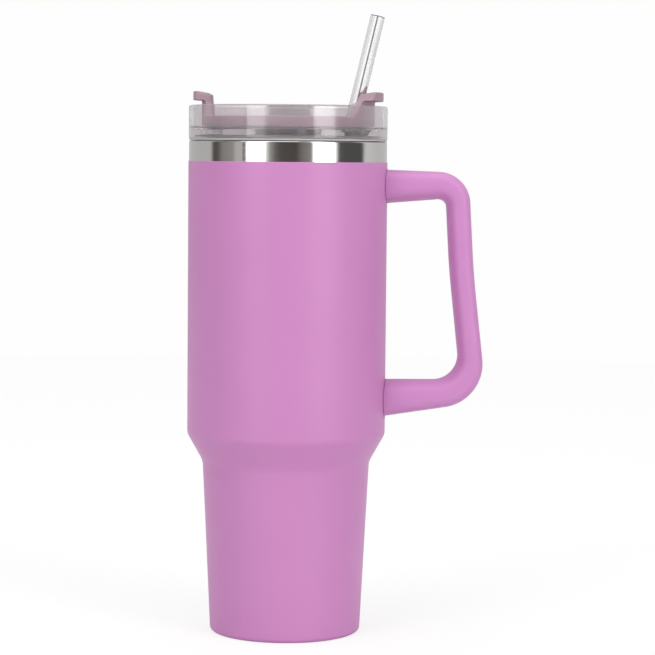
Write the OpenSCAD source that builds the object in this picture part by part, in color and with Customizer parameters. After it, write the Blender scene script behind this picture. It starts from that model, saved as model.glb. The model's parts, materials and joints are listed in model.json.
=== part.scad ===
// Insulated tumbler with handle, press-in lid, rotating cover and straw.
// Millimetres, +Z up. The origin is on the cup's axis at the table; the handle points to +X.

/* [Cup] */
// Outer radius of the upper body
body_r = 48.75; // [48.25:0.05:50]
// Radius where the shank meets the shoulder
neck_r = 41.1; // [39:0.1:42]
// Radius of the shank at the table
base_r = 37; // [36:0.1:38]
// Height of the shank's top
neck_h = 84.5; // [78:0.1:88]
// Height where the shoulder meets the upper body
shoulder_h = 98.2; // [94:0.1:104]
// Height of the painted shell's top edge
paint_h = 231.7; // [226:0.1:232]
// Height of the steel rim
rim_h = 241.7; // [240:0.1:242]
// Thickness of the steel sheet
wall = 0.6; // [0.5:0.1:0.8]
// Width of the vacuum space between the two walls
vacuum_gap = 2.4; // [2:0.1:2.6]

/* [Handle] */
// Width of the handle, along Y
handle_w = 22; // [21:0.5:26]
// Height of the upper arm's top edge at the body
arm_top = 228.3; // [227:0.1:229]
// Height of the lower arm's bottom edge at the body
arm_bottom = 106.7; // [105:0.1:108]
// Wall thickness of the handle halves
handle_wall = 2.8; // [2.4:0.1:3]

/* [Lid] */
// Height of the clear ring's lower edge
ring_bottom = 242.7; // [242.6:0.1:243]
// Height of the clear ring's upper edge
ring_top = 258.8; // [257:0.1:260]
// Thickness of the clear ring
ring_wall = 2.4; // [2:0.1:2.6]
// Radius of the rotating cover
cover_r = 42.1; // [42:0.1:42.3]
// Height of the rotating cover's rim
dish_top = 253.6; // [252.5:0.1:255]
// Height of the top of the finger wings
wing_top = 265.6; // [264:0.1:267]
// Radius of the rotating cover's hub
hub_r = 16; // [14:0.5:17]

/* [Straw] */
// Outer radius of the straw
straw_r = 3.5; // [3.3:0.1:3.6]
// Wall thickness of the straw
straw_wall = 0.9; // [0.7:0.1:1.2]
// Lean of the straw from the vertical, in degrees
straw_lean = 13.15; // [12.5:0.05:13.5]
// Height of the straw's upper end
straw_top = 303; // [290:0.5:320]

/* [Hidden] */

$fn = 96;
eps = 0.01;

paint_color = [0.80, 0.56, 0.77];
steel_color = [0.78, 0.77, 0.76];
clear_color = [0.86, 0.86, 0.88, 0.45];
tint_color = [0.66, 0.54, 0.62, 0.8];
silicone_color = [0.90, 0.89, 0.90];

// Cup
collar_r = body_r - 0.3;
liner_gap = wall + vacuum_gap;
liner_wall = 0.5;
mouth_r = body_r - liner_gap - liner_wall;
liner_floor = 10;
join_h = 235;
foot_r = 33.2;
cap_rise = 2.2;

// Handle: outline corners in the XZ plane as [x, z, corner radius], from the upper arm to the lower arm
root_x = body_r - 4;
handle_outside = [
    [root_x, arm_top, 0], [88.6, 226.9, 15.9], [91.5, 178, 400], [98.7, 115, 21.5], [root_x, arm_bottom, 0]
];
handle_inside = [
    [root_x, 211.5, 0], [77.5, 214.2, 4], [79.5, 180, 400], [85.5, 125.3, 12], [root_x, 125.1, 0]
];
seam_gap = 0.2;
cavity_y = handle_w / 2 - 4.3;
screw_r = 1.5;
head_r = 2.8;
head_y = handle_w / 2 - 2.9;
bracket_x = 57;
bracket_z = [220.3, 117.4];
grip_screw_z = [194, 150];

// Lid
skirt_r = 43.4;
skirt_wall = 2;
skirt_bottom = 230.5;
deck_bottom = 244.3;
deck_top = 246.9;
deck_edge = 247.8;
recess_r = cover_r + 0.7;
ring_r = body_r - 0.15;
ring_in = ring_r - ring_wall;
hub_fit = 0.06;

// Straw and its grommet
straw_x = 30.5;
straw_z = 248;
straw_foot_z = liner_floor + liner_wall + 0.5;
straw_down = (straw_z - straw_foot_z - straw_r * sin(straw_lean)) / cos(straw_lean);
straw_up = (straw_top - straw_z) / cos(straw_lean);
grommet_x = 30.2;
grommet_r = 5.75;
grommet_flange_r = 7.1;
grommet_collar_r = 5.2;
grommet_top = 249.9;

// Rotating cover
cover_bottom = 248.2;
cover_floor = 1.8;
cover_wall = 2;
cover_turn = 60;
straw_slot = [30.3, 5.8];
drink_slot = [34, 4.2];
drink_span = 24;
drink_angle = 168;
vent_r = 1.1;
vent_at = 22;
wing_proud = 0.15;
hook_r = 46.5;
hook_under = 261.3;

function unit(v) = v / norm(v);

// Points of the arc that rounds corner b between its neighbours a and c
function corner_arc(a, b, c, r, n) =
    let (u = unit(a - b), v = unit(c - b), half = acos(u * v) / 2)
    let (mid = b + unit(u + v) * r / sin(half), from = b + u * r / tan(half) - mid)
    let (to = b + v * r / tan(half) - mid, turn = sign(cross(from, to)) * (180 - 2 * half))
    [for (i = [0 : n]) mid + [
        from.x * cos(turn * i / n) - from.y * sin(turn * i / n),
        from.x * sin(turn * i / n) + from.y * cos(turn * i / n)
    ]];

// Outline through corners given as [x, y, radius]
function rounded(p, n = 8) =
    let (k = len(p), q = [for (c = p) [c.x, c.y]])
    [for (i = [0 : k - 1]) each p[i].z > 0 ?
        corner_arc(q[(i + k - 1) % k], q[i], q[(i + 1) % k], p[i].z, n) : [q[i]]];

module turned(corners, n = 8) {
    rotate_extrude() polygon(rounded(corners, n));
}

module disc(r, z0, z1) {
    translate([0, 0, z0]) cylinder(r = r, h = z1 - z0);
}

function polar(r, angle) = [r * cos(angle), r * sin(angle)];

// Outline of an arc-shaped slot with round ends: [centre radius, half width], first angle and span
function slot_outline(size, start, span) =
    let (n = ceil(span / 4), end = start + span)
    concat(
        [for (i = [0 : n]) polar(size[0] + size[1], start + span * i / n)],
        [for (i = [1 : 7]) polar(size[0], end) + polar(size[1], end + 22.5 * i)],
        [for (i = [n : -1 : 0]) polar(size[0] - size[1], start + span * i / n)],
        [for (i = [1 : 7]) polar(size[0], start) + polar(size[1], start + 180 + 22.5 * i)]
    );

module arc_slot(size, start, span, z0, z1) {
    translate([0, 0, z0]) linear_extrude(z1 - z0) polygon(slot_outline(size, start, span));
}

module along_straw() {
    translate([straw_x, 0, straw_z]) rotate([0, straw_lean, 0]) children();
}

// Cup -------------------------------------------------------------------------------------------

module outer_shell() {
    color(paint_color) turned([
        [foot_r, 0, 0], [base_r, 0, 2.4], [neck_r, neck_h, 10], [body_r, shoulder_h, 6],
        [body_r, paint_h, 0.3], [body_r - wall, paint_h, 0],
        [body_r - wall, shoulder_h, 6], [neck_r - wall, neck_h, 10],
        [base_r - wall, wall, 1.6], [foot_r, wall, 0]
    ]);
}

module mouth_collar() {
    color(steel_color) turned([
        [collar_r, paint_h, 0], [collar_r, rim_h, 0.9], [mouth_r, rim_h, 0.9], [mouth_r, join_h, 0],
        [mouth_r + liner_wall, join_h, 0], [mouth_r + liner_wall, rim_h - wall, 0.4],
        [collar_r - wall, rim_h - wall, 0.4], [collar_r - wall, paint_h, 0]
    ]);
}

module inner_liner() {
    in = liner_gap + liner_wall;
    color(steel_color) turned([
        [0, liner_floor, 0], [base_r - liner_gap, liner_floor, 7], [neck_r - liner_gap, neck_h, 10],
        [body_r - liner_gap, shoulder_h, 6], [body_r - liner_gap, join_h, 0], [body_r - in, join_h, 0],
        [body_r - in, shoulder_h, 6], [neck_r - in, neck_h, 10], [base_r - in, liner_floor + liner_wall, 6.3],
        [0, liner_floor + liner_wall, 0]
    ]);
}

// Steel disc that closes the vacuum space, with a dimple around the evacuation hole
module vacuum_bottom() {
    color(steel_color) turned([
        [0.8, 4.8, 0], [5, 4.8, 0], [6, 6, 0], [base_r - wall + 0.2, 6, 0], [base_r - wall + 0.2, 6.8, 0],
        [5.6, 6.8, 0], [4.6, 5.6, 0], [0.8, 5.6, 0]
    ]);
}

module getter() {
    color("dimgray") translate([0, 16, 0]) disc(4.5, 6.8, 8.6);
}

module vacuum_seal() {
    color("dimgray") disc(2.4, 3.9, 4.8);
}

module base_cap() {
    color(steel_color) turned([
        [0, cap_rise, 0], [26.5, cap_rise, 1], [28, wall, 1], [34.4, wall, 0], [34.4, 2 * wall, 0],
        [28.3, 2 * wall, 1], [26.8, cap_rise + wall, 1], [0, cap_rise + wall, 0]
    ], 4);
}

// Handle ----------------------------------------------------------------------------------------

module bracket(z) {
    difference() {
        translate([body_r - 3, -cavity_y + 0.2, z - 4.3]) cube([17, 2 * cavity_y - 0.4, 8.6]);
        disc(body_r, z - 9, z + 9);
        translate([bracket_x, 0, z]) rotate([90, 0, 0])
            cylinder(r = screw_r + 0.1, h = handle_w, center = true);
    }
}

module upper_bracket() {
    color(steel_color) bracket(bracket_z[0]);
}

module lower_bracket() {
    color(steel_color) bracket(bracket_z[1]);
}

// Stations along one edge of the handle: its ends, the arc at each corner and the middle of each leg
function edge_stations(p, n) =
    let (q = [for (c = p) [c.x, c.y]], last = len(p) - 1)
    let (arcs = [for (i = [1 : last - 1]) corner_arc(q[i - 1], q[i], q[i + 1], p[i].z, n)])
    let (middles = [for (i = [1 : last - 2]) (arcs[i - 1][n] + arcs[i][0]) / 2])
    concat([q[0]], arcs[0], [for (i = [1 : last - 2]) each concat([middles[i - 1]], arcs[i])], [q[last]]);

// Half of the handle's cross-section, from the outer edge (1) to the inner edge (-1): [across, y]
function half_section(n) =
    [for (i = [0 : n]) let (t = 180 * i / n, e = t < 90 ? 0.6 : 0.85)
        [sign(cos(t)) * pow(abs(cos(t)), e), -handle_w / 2 * pow(sin(t), e)]];

// One half of the handle as a solid, on the -Y side
module handle_half() {
    turns = 10;
    steps = 16;
    out = edge_stations(handle_outside, turns);
    in = edge_stations(handle_inside, turns);
    section = half_section(steps);
    points = [for (i = [0 : len(out) - 1]) for (s = section)
        let (p = (out[i] + in[i]) / 2 + s[0] * (out[i] - in[i]) / 2) [p.x, s[1], p.y]];
    ring = steps + 1;
    last = len(points) - ring;
    polyhedron(points, concat(
        [[for (j = [0 : steps]) j], [for (j = [steps : -1 : 0]) last + j]],
        [for (i = [0 : len(out) - 2]) for (j = [0 : steps])
            let (k = (j + 1) % ring) [i * ring + j, (i + 1) * ring + j, (i + 1) * ring + k, i * ring + k]]
    ));
}

function reversed(p) = [for (i = [len(p) - 1 : -1 : 0]) p[i]];

// Middle of the grip at a height
function grip_x(z) = 84.6 + (194 - z) * 0.093;

// Hollow of one half, less the boss around each grip screw
module handle_cavity(depth) {
    outline = concat(edge_stations(handle_outside, 10), reversed(edge_stations(handle_inside, 10)));
    rotate([90, 0, 0]) translate([0, 0, -eps]) linear_extrude(depth + eps) difference() {
        offset(delta = -handle_wall) polygon(outline);
        for (z = grip_screw_z) translate([grip_x(z), z]) circle(r = 4.2);
    }
}

// Places of the four handle screws, looking along +Y
module at_handle_screws() {
    for (z = bracket_z) translate([bracket_x, 0, z]) rotate([-90, 0, 0]) children();
    for (z = grip_screw_z) translate([grip_x(z), 0, z]) rotate([-90, 0, 0]) children();
}

module handle_front_half() {
    color(paint_color) difference() {
        handle_half();
        handle_cavity(cavity_y);
        disc(body_r + seam_gap, 90, 240);
        at_handle_screws() disc(screw_r + 0.05, -cavity_y - 2, 1);
    }
}

module handle_rear_half() {
    color(paint_color) difference() {
        mirror([0, 1, 0]) handle_half();
        mirror([0, 1, 0]) handle_cavity(cavity_y);
        disc(body_r + seam_gap, 90, 240);
        at_handle_screws() {
            disc(screw_r + 0.1, -1, handle_w);
            disc(head_r + 0.1, head_y, handle_w);
        }
    }
}

module handle_screws() {
    color(steel_color) at_handle_screws() {
        disc(screw_r, -cavity_y - 1.8, head_y + 0.1);
        difference() {
            disc(head_r, head_y + 0.02, head_y + 1.6);
            translate([0, 0, head_y + 0.8]) cylinder(r = 1.3, h = 2, $fn = 6);
        }
    }
}

module screw_plugs() {
    color(paint_color) at_handle_screws() disc(head_r, head_y + 1.7, handle_w / 2 - 0.1);
}

// Lid -------------------------------------------------------------------------------------------

module lid_body() {
    color(clear_color) difference() {
        turned([
            [0, deck_bottom, 0], [skirt_r - skirt_wall, deck_bottom, 1.5],
            [skirt_r - skirt_wall, skirt_bottom, 0.7], [skirt_r, skirt_bottom, 0.7],
            [skirt_r, ring_bottom, 0], [ring_r, ring_bottom, 0.6], [ring_r, ring_top, 0.8],
            [ring_in, ring_top, 0.8], [ring_in, deck_edge, 1], [recess_r, deck_edge, 0.3],
            [recess_r, deck_top, 0.4], [0, deck_top, 0]
        ], 4);
        disc(hub_r + hub_fit, deck_bottom - 1, deck_top + 1);
        translate([grommet_x, 0, 0]) {
            disc(grommet_r + 0.05, deck_bottom - 1, deck_top);
            disc(grommet_flange_r + 0.1, deck_top - 0.8, deck_top + 1);
        }
        arc_slot(drink_slot, drink_angle, drink_span, deck_bottom - 1, deck_top + 1);
        rotate([0, 0, 90]) translate([vent_at, 0, 0]) disc(vent_r, deck_bottom - 1, deck_top + 1);
    }
}

// Silicone flange under the ring, with three wiping lips around the skirt
module lid_gasket() {
    low = skirt_bottom + 1.4;
    flange = ring_bottom - 0.05;
    sleeve = skirt_r + 0.9;
    lip = mouth_r - 0.3;
    color(silicone_color) rotate_extrude() polygon(concat(
        [[skirt_r + 0.1, flange], [skirt_r + 0.1, low], [sleeve, low]],
        [for (z = [low + 1.6 : 2.6 : low + 7]) each [[sleeve, z - 0.9], [lip, z], [sleeve, z + 0.9]]],
        [[sleeve, rim_h + 0.2], [collar_r, rim_h + 0.2], [collar_r, flange]]
    ));
}

module straw_grommet() {
    color(silicone_color) difference() {
        translate([grommet_x, 0, 0]) {
            disc(grommet_flange_r, deck_bottom - 1.1, deck_bottom - 0.05);
            disc(grommet_r, deck_bottom - 0.1, deck_top - 0.7);
            disc(grommet_flange_r, deck_top - 0.75, deck_top);
            disc(grommet_collar_r, deck_top - 0.1, grommet_top);
        }
        along_straw() disc(straw_r + 0.06, -20, 20);
    }
}

// Rotating cover --------------------------------------------------------------------------------

// Openings that go through both the cover and its seal, grown by a margin
module cover_openings(grow, z0, z1) {
    arc_slot([straw_slot[0], straw_slot[1] + grow], -cover_turn, cover_turn, z0, z1);
    arc_slot([drink_slot[0], drink_slot[1] + grow], drink_angle - cover_turn, drink_span, z0, z1);
    rotate([0, 0, 90 - cover_turn]) translate([vent_at, 0, 0]) disc(vent_r + grow, z0, z1);
}

// Finger wing: hooked plate, trimmed to an outline that widens from half width top to half width base
module wing(top, base, corner) {
    inside = cover_r - cover_wall - wing_proud;
    outside = cover_r + wing_proud;
    intersection() {
        rotate([0, 0, -60]) rotate_extrude(angle = 120) polygon(rounded([
            [inside, cover_bottom + 1, 0], [outside, cover_bottom + 1, 0], [outside, hook_under, 1.2],
            [hook_r, hook_under, 0.4], [hook_r, wing_top, 0.5], [inside, wing_top - 1.2, 0.8]
        ], 5));
        translate([inside - 20, 0, 0]) rotate([90, 0, 90]) linear_extrude(30) polygon(rounded([
            [-base, cover_bottom, 0], [base, cover_bottom, 0], [base, dish_top, 5],
            [top, wing_top + 1, corner], [-top, wing_top + 1, corner], [-base, dish_top, 5]
        ], 6));
    }
}

module rotating_cover() {
    lip_bottom = deck_bottom - 1.6;
    floor_top = cover_bottom + cover_floor;
    color(tint_color) difference() {
        union() {
            turned([
                [0, cover_bottom, 0], [hub_r - 2, cover_bottom, 0], [hub_r - 2, lip_bottom, 0.3],
                [hub_r + 1.1, lip_bottom, 0.8], [hub_r + 1.1, deck_bottom - 0.3, 0.2],
                [hub_r, deck_bottom - 0.3, 0], [hub_r, cover_bottom, 0],
                [cover_r, cover_bottom, 0.8], [cover_r, dish_top, 0.8],
                [cover_r - cover_wall, dish_top, 0.8], [cover_r - cover_wall, floor_top, 1.2],
                [0, floor_top, 0]
            ], 5);
            wing(18, 28, 1);
            rotate([0, 0, 180]) wing(13.5, 15.5, 4.5);
        }
        cover_openings(0, cover_bottom - 1, floor_top + 1);
        for (a = [0 : 60 : 120]) rotate([0, 0, a + 15])
            translate([-hub_r - 3, -3, lip_bottom - 1]) cube([2 * hub_r + 6, 6, 3]);
        rotate_extrude() translate([hub_r - 0.9, deck_bottom + 0.5]) square([2, 1.3]);
    }
}

module cover_seal() {
    color(silicone_color) difference() {
        disc(cover_r - 2.5, deck_top + 0.15, cover_bottom - 0.02);
        disc(hub_r + 1.2, deck_top, cover_bottom);
        cover_openings(0.4, deck_top, cover_bottom);
    }
}

module hub_o_ring() {
    color(silicone_color) rotate_extrude() translate([hub_r - 0.43, deck_bottom + 1.15]) circle(r = 0.45);
}

// Straw -----------------------------------------------------------------------------------------

module straw() {
    color(clear_color) along_straw() difference() {
        disc(straw_r, -straw_down, straw_up);
        disc(straw_r - straw_wall, -straw_down - 1, straw_up + 1);
    }
}

outer_shell();
mouth_collar();
inner_liner();
vacuum_bottom();
getter();
vacuum_seal();
base_cap();
upper_bracket();
lower_bracket();
handle_front_half();
handle_rear_half();
handle_screws();
screw_plugs();
lid_body();
lid_gasket();
straw_grommet();
rotating_cover();
cover_seal();
hub_o_ring();
straw();
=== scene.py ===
"""Insulated tumbler with handle, press-in lid, rotating cover and straw, in a pale studio."""

import json
import math

import bmesh
import bpy
import numpy as np
from mathutils import Matrix, Vector


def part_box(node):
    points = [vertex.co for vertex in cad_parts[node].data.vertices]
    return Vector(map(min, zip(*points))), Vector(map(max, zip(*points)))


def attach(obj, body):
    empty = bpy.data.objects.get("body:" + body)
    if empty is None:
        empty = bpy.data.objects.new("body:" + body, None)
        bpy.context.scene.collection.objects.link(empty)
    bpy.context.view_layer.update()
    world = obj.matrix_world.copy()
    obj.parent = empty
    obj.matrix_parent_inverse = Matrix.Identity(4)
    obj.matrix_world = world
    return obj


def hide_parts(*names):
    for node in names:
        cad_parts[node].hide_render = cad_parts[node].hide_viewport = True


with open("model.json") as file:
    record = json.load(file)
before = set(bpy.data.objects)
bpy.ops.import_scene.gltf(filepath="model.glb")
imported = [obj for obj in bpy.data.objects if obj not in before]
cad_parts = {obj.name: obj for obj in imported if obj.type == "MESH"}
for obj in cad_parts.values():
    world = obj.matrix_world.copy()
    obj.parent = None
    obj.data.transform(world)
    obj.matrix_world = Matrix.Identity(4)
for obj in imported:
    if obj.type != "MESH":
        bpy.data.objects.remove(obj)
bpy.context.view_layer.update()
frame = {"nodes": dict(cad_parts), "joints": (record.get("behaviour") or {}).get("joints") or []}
nodes = frame["nodes"]

MM = 0.001
BLACK = (0.0, 0.0, 0.0)
WHITE = (1.0, 1.0, 1.0)


def box_along(node, direction):
    """Lowest and highest of a CAD node's points along a direction, in metres."""
    heights = [v.co.dot(direction) for v in nodes[node].data.vertices]
    return min(heights), max(heights)


def add_object(name, data):
    obj = bpy.data.objects.new(name, data)
    bpy.context.scene.collection.objects.link(obj)
    return obj


def mesh_from(name, bm):
    mesh = bpy.data.meshes.new(name)
    bm.to_mesh(mesh)
    bm.free()
    return mesh


def shade(colour, factor):
    return tuple(c * factor for c in colour)


# Dimensions ----------------------------------------------------------------------------------

# Handle in millimetres, as in the CAD: corners in the XZ plane as (x, z, radius)
HANDLE_OUTSIDE = [
    (44.75, 228.3, 0),
    (88.6, 226.9, 15.9),
    (91.5, 178, 400),
    (98.7, 115, 21.5),
    (44.75, 106.7, 0),
]
HANDLE_INSIDE = [
    (44.75, 211.5, 0),
    (77.5, 214.2, 4),
    (79.5, 180, 400),
    (85.5, 125.3, 12),
    (44.75, 125.1, 0),
]
HANDLE_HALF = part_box("handle_rear_half")[1].y / MM
# The root stops this far from the cup's axis, just off its wall
HANDLE_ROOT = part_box("outer_shell")[1].x / MM + 0.2
# Screws through the handle, as (x, z), and the recess over each one, which a plug fills
SCREWS = [(57, 220.3), (57, 117.4), (84.6, 194), (88.69, 150)]
RECESS_RADIUS = 2.95
RECESS_MIDDLE = 9.6
RECESS_LENGTH = 3

# Straw: the way it leans in the XZ plane, and how far to the side of the origin it passes, in metres
STRAW_ALONG = Vector(next(j["axis"] for j in frame["joints"] if j["name"] == "straw_slide"))
STRAW_ACROSS = Vector((STRAW_ALONG.z, 0, -STRAW_ALONG.x))
STRAW_SIDE = sum(box_along("straw", STRAW_ACROSS)) / 2
STRAW_TOP = box_along("straw", STRAW_ALONG)[1]

# In metres: the lid is frosted within this radius and below this height, so on its skirt and under its deck
FROST_RADIUS = 0.0418
FROST_TOP = 0.2446
# Painted light on the cover: its colour is lightened in its dish, behind the clear ring, and fades to the
# wings' own deeper colour from its dish's top to just under its wings' tops
WING_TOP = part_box("rotating_cover")[1].z
PAINTED_LIGHT_BELOW = WING_TOP - 0.0119
PAINTED_LIGHT_ENDS_ABOVE = WING_TOP - 0.0019


# Shader nodes --------------------------------------------------------------------------------


def feed(tree, socket, value):
    """Gives a socket a constant, or links another node's output to it."""
    if isinstance(value, bpy.types.NodeSocket):
        tree.links.new(value, socket)
    elif socket.type == "RGBA":
        socket.default_value = (*value, 1)
    else:
        socket.default_value = value


def split_xyz(tree, vector):
    n = tree.nodes.new("ShaderNodeSeparateXYZ")
    tree.links.new(vector, n.inputs[0])
    return n.outputs


def math_node(tree, operation, *values):
    n = tree.nodes.new("ShaderNodeMath")
    n.operation = operation
    for socket, value in zip(n.inputs, values):
        feed(tree, socket, value)
    return n.outputs[0]


def vector_node(tree, operation, inputs, output="Value"):
    """A vector operation, whose inputs go by the socket's number or name."""
    n = tree.nodes.new("ShaderNodeVectorMath")
    n.operation = operation
    for key, value in inputs.items():
        feed(tree, n.inputs[key], value)
    return n.outputs[output]


def ramp(tree, factor, stops):
    n = tree.nodes.new("ShaderNodeValToRGB")
    elements = n.color_ramp.elements
    elements.remove(elements[-1])
    for i, (at, colour) in enumerate(stops):
        e = elements[0] if i == 0 else elements.new(at)
        e.position = at
        e.color = (*colour, 1)
    tree.links.new(factor, n.inputs[0])
    return n.outputs[0]


def mix_colours(tree, factor, first, second):
    n = tree.nodes.new("ShaderNodeMix")
    n.data_type = "RGBA"
    # Sockets 6 and 7 are this node's colours
    for number, value in ((0, factor), (6, first), (7, second)):
        feed(tree, n.inputs[number], value)
    return n.outputs[2]


def mix_shaders(tree, factor, first, second):
    n = tree.nodes.new("ShaderNodeMixShader")
    for socket, value in zip(n.inputs, (factor, first, second)):
        feed(tree, socket, value)
    return n.outputs[0]


def light_path(tree, kind):
    return tree.nodes.new("ShaderNodeLightPath").outputs[kind]


# Camera --------------------------------------------------------------------------------------

# The picture shows VIEW_WIDTH metres across at the point it aims at
CAMERA_AT = Vector((0.02005, -1.18, 0.236))
CAMERA_AIM = Vector((0.02005, 0.0, 0.15035))
VIEW_WIDTH = 0.3226
SENSOR = 36
ROLL = math.radians(0.5)


def make_camera():
    data = bpy.data.cameras.new("camera")
    look = CAMERA_AIM - CAMERA_AT
    data.sensor_width = SENSOR
    data.lens = SENSOR * look.length / VIEW_WIDTH
    cam = add_object("camera", data)
    cam.location = CAMERA_AT
    turn = look.to_track_quat("-Z", "Y").to_matrix() @ Matrix.Rotation(ROLL, 3, "Z")
    cam.rotation_euler = turn.to_euler()
    bpy.context.scene.camera = cam


# Studio --------------------------------------------------------------------------------------

# The room's brightness round the object: (azimuth from the camera in degrees, colour)
ROOM = [
    (-180, (0.58, 0.58, 0.58)),
    (-150, (0.56, 0.56, 0.56)),
    (-100, (0.56, 0.55, 0.54)),
    (-95, (0.10, 0.09, 0.085)),
    (-88, (0.11, 0.10, 0.095)),
    (-80, (0.28, 0.27, 0.26)),
    (-66, (0.33, 0.32, 0.31)),
    (-62, (0.52, 0.51, 0.50)),
    (-53, (0.56, 0.55, 0.54)),
    (-52, (0.14, 0.13, 0.13)),
    (-49.5, (0.14, 0.13, 0.13)),
    (-48.5, (0.60, 0.60, 0.60)),
    (-46.5, (3.3, 3.3, 3.3)),
    (-27.5, (3.3, 3.3, 3.3)),
    (-24, (0.9, 0.9, 0.9)),
    (-20, (0.38, 0.37, 0.36)),
    (-14, (0.18, 0.165, 0.155)),
    (-8, (0.10, 0.09, 0.085)),
    (10, (0.088, 0.076, 0.07)),
    (18, (0.22, 0.20, 0.19)),
    (29, (0.28, 0.27, 0.26)),
    (33, (4.5, 4.5, 4.5)),
    (54.5, (4.5, 4.5, 4.5)),
    (58, (0.8, 0.8, 0.8)),
    (62, (0.09, 0.09, 0.09)),
    (96, (0.09, 0.09, 0.09)),
    (102, (0.72, 0.72, 0.72)),
    (127, (0.63, 0.63, 0.63)),
    (180, (0.58, 0.58, 0.58)),
]
# The ramp holds the room's colours divided by this, and the background's strength makes up for it
ROOM_GAIN = 4
BACKDROP = (0.99, 0.99, 0.99)
CARD = (0.38, 0.37, 0.38)
FLOOR_RADIUS = 1.6
# How much of what the camera sees of the floor is plain white, free of shadow
FLOOR_GLOW = 0.75


def room_colour(tree, x, y, z):
    """The lit room's colour in a direction: walls up to about 45 degrees, then a pale ceiling."""
    azimuth = math_node(tree, "ARCTAN2", x, math_node(tree, "MULTIPLY", y, -1.0))
    turn = math_node(tree, "MULTIPLY_ADD", azimuth, 0.5 / math.pi, 0.5)
    walls = ramp(tree, turn, [((at + 180) / 360, shade(colour, 1 / ROOM_GAIN)) for at, colour in ROOM])
    height = math_node(tree, "MULTIPLY_ADD", z, 0.5, 0.5)
    above = ramp(tree, height, [(0.82, BLACK), (0.92, WHITE)])
    return mix_colours(tree, above, walls, shade(WHITE, 1 / ROOM_GAIN))


def make_world():
    world = bpy.data.worlds.new("studio")
    bpy.context.scene.world = world
    world.use_nodes = True
    tree = world.node_tree
    tree.nodes.clear()
    x, y, z = split_xyz(tree, tree.nodes.new("ShaderNodeTexCoord").outputs["Generated"])
    lit = tree.nodes.new("ShaderNodeBackground")
    feed(tree, lit.inputs["Color"], room_colour(tree, x, y, z))
    feed(tree, lit.inputs["Strength"], ROOM_GAIN)
    # The white backdrop is what the camera sees, directly or through clear plastic
    depth = math_node(tree, "MULTIPLY_ADD", y, 0.5, 0.5)
    behind = ramp(tree, depth, [(0.78, BLACK), (0.9, WHITE)])
    through = math_node(tree, "MULTIPLY", light_path(tree, "Is Transmission Ray"), behind)
    # A grey card far behind the lid, which only shows through it
    across = math_node(tree, "MULTIPLY_ADD", x, 10.0, 0.5)
    card = ramp(tree, across, [(0.22, BACKDROP), (0.235, CARD), (0.44, CARD), (0.46, BACKDROP)])
    seen = tree.nodes.new("ShaderNodeBackground")
    feed(tree, seen.inputs["Color"], mix_colours(tree, through, BACKDROP, card))
    bare = math_node(tree, "MAXIMUM", light_path(tree, "Is Camera Ray"), through)
    out = tree.nodes.new("ShaderNodeOutputWorld")
    tree.links.new(mix_shaders(tree, bare, lit.outputs[0], seen.outputs[0]), out.inputs[0])


def make_light(name, at, aim, size, power):
    data = bpy.data.lights.new(name, "AREA")
    data.shape = "RECTANGLE"
    data.size, data.size_y = size
    data.energy = power
    light = add_object(name, data)
    light.location = at
    light.rotation_euler = (Vector(aim) - Vector(at)).to_track_quat("-Z", "Y").to_euler()
    light.visible_camera = False


def make_floor():
    bm = bmesh.new()
    bmesh.ops.create_circle(bm, cap_ends=True, segments=96, radius=FLOOR_RADIUS)
    floor = add_object("floor", mesh_from("floor", bm))
    mat = bpy.data.materials.new("floor_pale")
    mat.use_nodes = True
    tree = mat.node_tree
    shader = tree.nodes["Principled BSDF"]
    feed(tree, shader.inputs["Base Color"], shade(WHITE, 0.82))
    feed(tree, shader.inputs["Roughness"], 0.8)
    # The camera sees a white sweep with a faint contact shadow
    sweep = tree.nodes.new("ShaderNodeEmission")
    shaded = tree.nodes.new("ShaderNodeBsdfDiffuse")
    feed(tree, shaded.inputs["Color"], shade(WHITE, 0.95))
    seen = mix_shaders(tree, FLOOR_GLOW, shaded.outputs[0], sweep.outputs[0])
    either = mix_shaders(tree, light_path(tree, "Is Camera Ray"), shader.outputs[0], seen)
    tree.links.new(either, tree.nodes["Material Output"].inputs["Surface"])
    floor.data.materials.append(mat)


# Materials -----------------------------------------------------------------------------------


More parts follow.
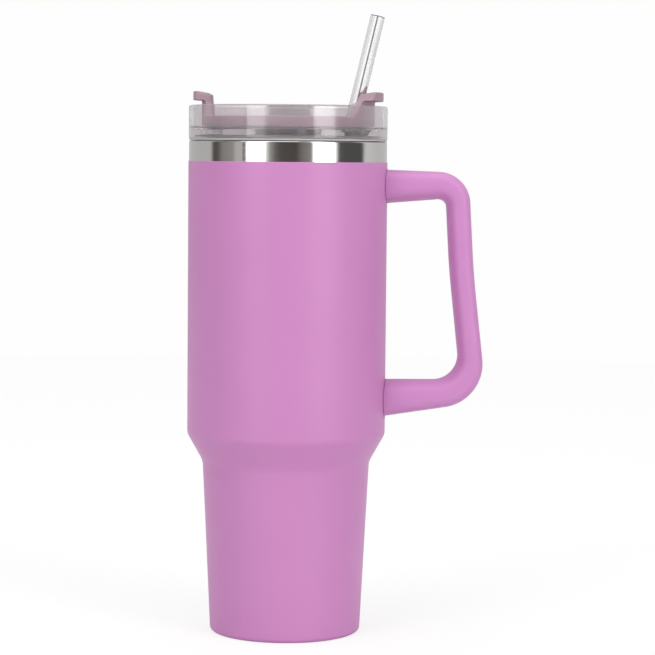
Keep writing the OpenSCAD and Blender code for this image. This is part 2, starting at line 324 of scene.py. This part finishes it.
class Finish:
    """A Principled material with helpers for its patterns."""

    def __init__(self, name, **sockets):
        self.material = bpy.data.materials.new(name)
        self.material.use_nodes = True
        self.tree = self.material.node_tree
        self.shader = self.tree.nodes["Principled BSDF"]
        self.place = self.tree.nodes.new("ShaderNodeTexCoord").outputs["Object"]
        for key, value in sockets.items():
            self.set(key.replace("_", " ").title().replace("Ior", "IOR"), value)

    def set(self, socket, value):
        feed(self.tree, self.shader.inputs[socket], value)

    def scaled(self, factors):
        n = self.tree.nodes.new("ShaderNodeMapping")
        n.inputs["Scale"].default_value = factors
        self.tree.links.new(self.place, n.inputs["Vector"])
        return n.outputs[0]

    def noise(self, scale, detail=2.0, rough=0.5, at=None):
        n = self.tree.nodes.new("ShaderNodeTexNoise")
        n.inputs["Scale"].default_value = scale
        n.inputs["Detail"].default_value = detail
        n.inputs["Roughness"].default_value = rough
        self.tree.links.new(at or self.place, n.inputs["Vector"])
        return n.outputs["Fac"]

    def mottle(self, low, high, noise, spread=0.2):
        """A colour that noise takes from low to high, around its middle."""
        return ramp(self.tree, noise, [(0.5 - spread, low), (0.5 + spread, high)])

    def between(self, factor, low, high, start=0.0, end=1.0):
        """A value that goes from low to high while the factor goes from start to end."""
        n = self.tree.nodes.new("ShaderNodeMapRange")
        for socket, value in zip(("From Min", "From Max", "To Min", "To Max"), (start, end, low, high)):
            n.inputs[socket].default_value = value
        self.tree.links.new(factor, n.inputs["Value"])
        return n.outputs[0]

    def vary(self, noise, low, high):
        """Noise lies mostly between 0.3 and 0.7, and this takes it from low to high."""
        return self.between(noise, low, high, 0.3, 0.7)

    def bump(self, height, strength, distance, over=None):
        n = self.tree.nodes.new("ShaderNodeBump")
        n.inputs["Strength"].default_value = strength
        n.inputs["Distance"].default_value = distance
        self.tree.links.new(height, n.inputs["Height"])
        if over is not None:
            self.tree.links.new(over, n.inputs["Normal"])
        return n.outputs[0]

    def darken_with_depth(self, colour, density):
        """Absorbs light along its way inside the material."""
        n = self.tree.nodes.new("ShaderNodeVolumeAbsorption")
        feed(self.tree, n.inputs["Color"], colour)
        feed(self.tree, n.inputs["Density"], density)
        self.tree.links.new(n.outputs[0], self.tree.nodes["Material Output"].inputs["Volume"])


def powder_coat(name, low, high, rough):
    f = Finish(name, specular_ior_level=0.3)
    f.set("Base Color", f.mottle(low, high, f.noise(26, 3)))
    f.set("Roughness", f.vary(f.noise(700), rough - 0.04, rough + 0.04))
    peel = f.bump(f.noise(900, 1), 0.35, 0.00004)
    f.set("Normal", f.bump(f.noise(3800, 1), 0.25, 0.00002, peel))
    return f.material


def turned_steel(name, tone, rough, lines):
    f = Finish(name, metallic=1.0)
    f.set("Base Color", f.mottle(shade(tone, 0.94), tone, f.noise(30)))
    grain = f.noise(1.0, 3, 0.6, f.scaled((lines * 0.02, lines * 0.02, lines)))
    f.set("Roughness", f.vary(grain, rough - 0.03, rough + 0.05))
    f.set("Normal", f.bump(grain, 0.12, 0.00002))
    return f.material


def cast_metal(name, tone, rough):
    """Dull grainy metal, such as sintered powder or a fused bead."""
    f = Finish(name, metallic=0.9)
    f.set("Base Color", f.mottle(shade(tone, 0.7), tone, f.noise(1400, 3), 0.15))
    f.set("Roughness", f.vary(f.noise(900), rough - 0.08, rough + 0.1))
    f.set("Normal", f.bump(f.noise(2600, 3), 0.5, 0.00006))
    return f.material


def soft_rubber(name, tone, rough):
    f = Finish(name, subsurface_weight=0.1, subsurface_scale=0.002)
    f.set("Base Color", f.mottle(shade(tone, 0.93), tone, f.noise(90)))
    f.set("Roughness", f.vary(f.noise(500), rough - 0.05, rough + 0.08))
    f.set("Normal", f.bump(f.noise(2200), 0.2, 0.00002))
    return f.material


def straw_plastic(name, tint, painted_shade_tone):
    """Clear extruded tube with painted shade: a dark line down the middle of its front stands in for the
    dark refraction line, and a dark band at its top end stands in for the shading of the cut edge.
    """
    f = Finish(name, ior=1.45, transmission_weight=1.0)
    # Painted shade: the dark line down the front's middle stands in for refraction, and the dark band at
    # the top end for the cut edge's shading
    painted_line_half_width, front_y, painted_end_length = 0.00022, -0.003, 0.0004
    across = vector_node(f.tree, "DOT_PRODUCT", {0: f.place, 1: STRAW_ACROSS})
    along = vector_node(f.tree, "DOT_PRODUCT", {0: f.place, 1: STRAW_ALONG})
    off_painted_line = math_node(f.tree, "ABSOLUTE", math_node(f.tree, "SUBTRACT", across, STRAW_SIDE))
    on_painted_line = math_node(f.tree, "LESS_THAN", off_painted_line, painted_line_half_width)
    front = math_node(f.tree, "LESS_THAN", split_xyz(f.tree, f.place)["Y"], front_y)
    cut = math_node(f.tree, "GREATER_THAN", along, STRAW_TOP - painted_end_length)
    painted_shade_mask = math_node(f.tree, "MAXIMUM", math_node(f.tree, "MULTIPLY", on_painted_line, front), cut)
    body = f.mottle(shade(tint, 0.98), tint, f.noise(60))
    f.set("Base Color", mix_colours(f.tree, painted_shade_mask, body, painted_shade_tone))
    f.set("Roughness", f.vary(f.noise(300), 0.0, 0.01))
    # The wall is greyest where light passes along it, at the tube's sides
    f.darken_with_depth((0.3, 0.29, 0.3), 95)
    return f.material


def lid_plastic(name, tint, frost, rough, through):
    """Clear plastic whose underside, within the skirt and below the deck, is frosted."""
    f = Finish(name, ior=1.12, coat_roughness=0.02, coat_ior=1.51)
    radius = vector_node(f.tree, "LENGTH", {0: f.scaled((1, 1, 0))})
    within = math_node(f.tree, "LESS_THAN", radius, FROST_RADIUS)
    below = math_node(f.tree, "LESS_THAN", split_xyz(f.tree, f.place)["Z"], FROST_TOP)
    frosted = math_node(f.tree, "MULTIPLY", within, below)
    clear_colour = f.mottle(shade(tint, 0.96), tint, f.noise(60))
    f.set("Base Color", mix_colours(f.tree, frosted, clear_colour, frost))
    fine = f.vary(f.noise(300), rough - 0.02, rough + 0.03)
    f.set("Roughness", math_node(f.tree, "MULTIPLY_ADD", frosted, 0.4, fine))
    f.set("Transmission Weight", f.between(frosted, through, 0.25))
    f.set("Coat Weight", f.between(frosted, 1.0, 0.0))
    # The long way through the deck is darker than the ring's thin wall
    f.darken_with_depth((0.30, 0.20, 0.26), 12)
    return f.material


def cover_plastic(name, tint, rough, through):
    """Fine-textured plastic that lets a little light through, with painted light making its dish, behind
    the ring, paler than its deep wings.
    """
    f = Finish(name, transmission_weight=through, ior=1.3, specular_ior_level=0.4)
    even = f.mottle(shade(tint, 0.95), tint, f.noise(50, 3))
    height = split_xyz(f.tree, f.place)["Z"]
    # Painted light: the dish is lightened to make up for the light the clear ring keeps off it
    depth = f.between(height, 1.3, 0.88, PAINTED_LIGHT_BELOW, PAINTED_LIGHT_ENDS_ABOVE)
    f.set("Base Color", vector_node(f.tree, "SCALE", {0: even, "Scale": depth}, "Vector"))
    f.set("Roughness", f.vary(f.noise(400), rough - 0.04, rough + 0.05))
    f.set("Normal", f.bump(f.noise(2500), 0.15, 0.00002))
    return f.material


def dress(name, material):
    mesh = nodes[name].data
    mesh.materials.clear()
    mesh.materials.append(material)


# Meshes --------------------------------------------------------------------------------------


def make_piece(name, points, faces, material, body, stands_for):
    """A smooth mesh in millimetres that stands for a CAD node."""
    mesh = bpy.data.meshes.new(name)
    mesh.from_pydata([tuple(c * MM for c in p) for p in points], [], faces)
    bm = bmesh.new()
    bm.from_mesh(mesh)
    bmesh.ops.recalc_face_normals(bm, faces=bm.faces)
    bm.to_mesh(mesh)
    bm.free()
    mesh.polygons.foreach_set("use_smooth", [True] * len(mesh.polygons))
    mesh.set_sharp_from_angle(angle=math.radians(40))
    mesh.materials.append(material)
    obj = add_object(name, mesh)
    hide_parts(stands_for)
    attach(obj, body)
    return obj


def corner_arc(a, b, c, r, n):
    """Points of the arc of radius r that rounds corner b between a and c."""
    u = (a - b) / np.linalg.norm(a - b)
    v = (c - b) / np.linalg.norm(c - b)
    half = math.acos(float(np.dot(u, v))) / 2
    middle = b + (u + v) / np.linalg.norm(u + v) * r / math.sin(half)
    x, z = b + u * r / math.tan(half) - middle
    end = b + v * r / math.tan(half) - middle
    turn = math.copysign(math.pi - 2 * half, x * end[1] - z * end[0])
    arc = []
    for t in np.linspace(0, turn, n + 1):
        arc.append(middle + (x * math.cos(t) - z * math.sin(t), x * math.sin(t) + z * math.cos(t)))
    return arc


def edge_stations(corners, n=24, leg=8):
    """Stations along one edge of the handle, with n steps on each arc and leg on each straight part."""
    at = [np.array(corner[:2], float) for corner in corners]
    path = [at[0]]
    for i in range(1, len(at) - 1):
        arc = corner_arc(at[i - 1], at[i], at[i + 1], corners[i][2], n)
        path += [path[-1] + (arc[0] - path[-1]) * k / leg for k in range(1, leg)]
        path += arc
    return path + [path[-1] + (at[-1] - path[-1]) * k / leg for k in range(1, leg + 1)]


def handle_section(side, steps=40):
    """Half of the handle's section as (place, y), with place 1 at its outside and -1 at its inside."""
    # The seam between the halves is a fine groove
    groove, lip = 0.975, side * 0.14
    # Below 1 these powers make the section squarer than an ellipse
    outside, inside = 0.6, 0.85
    section = [(groove, 0.0), (1.0, lip)]
    for j in range(1, steps):
        t = math.pi * j / steps
        power = outside if t < math.pi / 2 else inside
        across = math.copysign(abs(math.cos(t)) ** power, math.cos(t))
        section.append((across, side * HANDLE_HALF * math.sin(t) ** power))
    return section + [(-1.0, lip), (-groove, 0.0)]


def handle_mesh(side):
    """Points and faces of one handle half, cut at the root to the cup's radius."""
    section = handle_section(side)
    stations = list(zip(edge_stations(HANDLE_OUTSIDE), edge_stations(HANDLE_INSIDE)))
    points = []
    for outside, inside in stations:
        for across, y in section:
            x, z = (outside + inside) / 2 + across * (outside - inside) / 2
            points.append((max(x, math.sqrt(HANDLE_ROOT**2 - y * y)), y, z))
    ring = len(section)
    last = len(points) - ring
    faces = [tuple(range(ring)), tuple(last + j for j in reversed(range(ring)))]
    for i in range(len(stations) - 1):
        for j in range(ring):
            k = (j + 1) % ring
            faces.append((i * ring + j, (i + 1) * ring + j, (i + 1) * ring + k, i * ring + k))
    return points, faces


def cut_recess(obj, name, x, z):
    """Cuts a round recess along Y from a handle half."""
    middle = Vector((x, RECESS_MIDDLE, z)) * MM
    place = Matrix.Translation(middle) @ Matrix.Rotation(math.radians(90), 4, "X")
    radius = RECESS_RADIUS * MM
    length = RECESS_LENGTH * MM
    bm = bmesh.new()
    bmesh.ops.create_cone(
        bm, cap_ends=True, segments=48, radius1=radius, radius2=radius, depth=length, matrix=place
    )
    cutter = add_object(name, mesh_from(name, bm))
    cutter.hide_render = cutter.hide_viewport = True
    cut = obj.modifiers.new(name, "BOOLEAN")
    cut.operation = "DIFFERENCE"
    cut.object = cutter


def make_handle(material):
    make_piece("handle_front", *handle_mesh(-1), material, "cup", "handle_front_half")
    rear = make_piece("handle_rear", *handle_mesh(1), material, "cup", "handle_rear_half")
    for i, (x, z) in enumerate(SCREWS):
        cut_recess(rear, f"recess_{i}", x, z)


def make_straw(material):
    """Tube with rounded lips, along its leaning axis."""
    outer, bore, lip = 3.5, 2.6, 0.3
    low, high = (h / MM for h in box_along("straw", STRAW_ALONG))
    corners = [
        (outer - lip, high - lip),
        (bore + lip, high - lip),
        (bore + lip, low + lip),
        (outer - lip, low + lip),
    ]
    steps = 6
    profile = []
    for quarter, (r, h) in enumerate(corners):
        for k in range(steps + 1):
            t = math.radians(90 * (quarter + k / steps))
            profile.append((r + lip * math.cos(t), h + lip * math.sin(t)))
    turns = 64
    n = len(profile)
    points = []
    faces = []
    for a in range(turns):
        t = 2 * math.pi * a / turns
        following = (a + 1) % turns
        for j, (r, h) in enumerate(profile):
            k = (j + 1) % n
            sideways = STRAW_ACROSS * (STRAW_SIDE / MM + r * math.cos(t))
            points.append(STRAW_ALONG * h + sideways + Vector((0, r * math.sin(t), 0)))
            faces.append((a * n + j, a * n + k, following * n + k, following * n + j))
    make_piece("straw_tube", points, faces, material, "straw", "straw")


# Scene ---------------------------------------------------------------------------------------

make_camera()
make_world()
make_light("overhead", at=(-0.15, -0.25, 1.1), aim=(0, 0, 0.1), size=(0.9, 0.9), power=3.5)
make_floor()
bpy.context.scene.view_settings.view_transform = "Standard"

shell_paint = powder_coat("shell_coating", (0.515, 0.212, 0.457), (0.53, 0.221, 0.471), rough=0.38)
handle_paint = powder_coat("handle_coating", (0.52, 0.218, 0.472), (0.535, 0.227, 0.486), rough=0.42)
polished = turned_steel("polished_steel", (0.72, 0.71, 0.70), rough=0.085, lines=4000)
brushed = turned_steel("brushed_steel", (0.62, 0.61, 0.60), rough=0.30, lines=2600)
frost = (0.48, 0.46, 0.47)
clear = lid_plastic("clear_plastic", (0.80, 0.765, 0.785), frost, rough=0.03, through=0.88)
tinted = cover_plastic("tinted_plastic", (0.50, 0.345, 0.415), rough=0.4, through=0.3)
# The dark tone is painted shade for the straw's refraction line and its cut top end
straw_clear = straw_plastic("straw_plastic", (0.985, 0.985, 0.985), painted_shade_tone=(0.10, 0.10, 0.10))
silicone = soft_rubber("silicone", (0.45, 0.44, 0.45), rough=0.5)

dress("outer_shell", shell_paint)
dress("mouth_collar", polished)
for steel in ("inner_liner", "vacuum_bottom", "base_cap"):
    dress(steel, brushed)
for fixing in ("upper_bracket", "lower_bracket", "handle_screws"):
    dress(fixing, brushed)
dress("getter", cast_metal("getter_metal", (0.10, 0.10, 0.11), rough=0.6))
dress("vacuum_seal", cast_metal("seal_solder", (0.16, 0.16, 0.17), rough=0.4))
dress("screw_plugs", handle_paint)
make_handle(handle_paint)
dress("lid_body", clear)
dress("rotating_cover", tinted)
for seal in ("lid_gasket", "straw_grommet", "cover_seal", "hub_o_ring"):
    dress(seal, silicone)
make_straw(straw_clear)
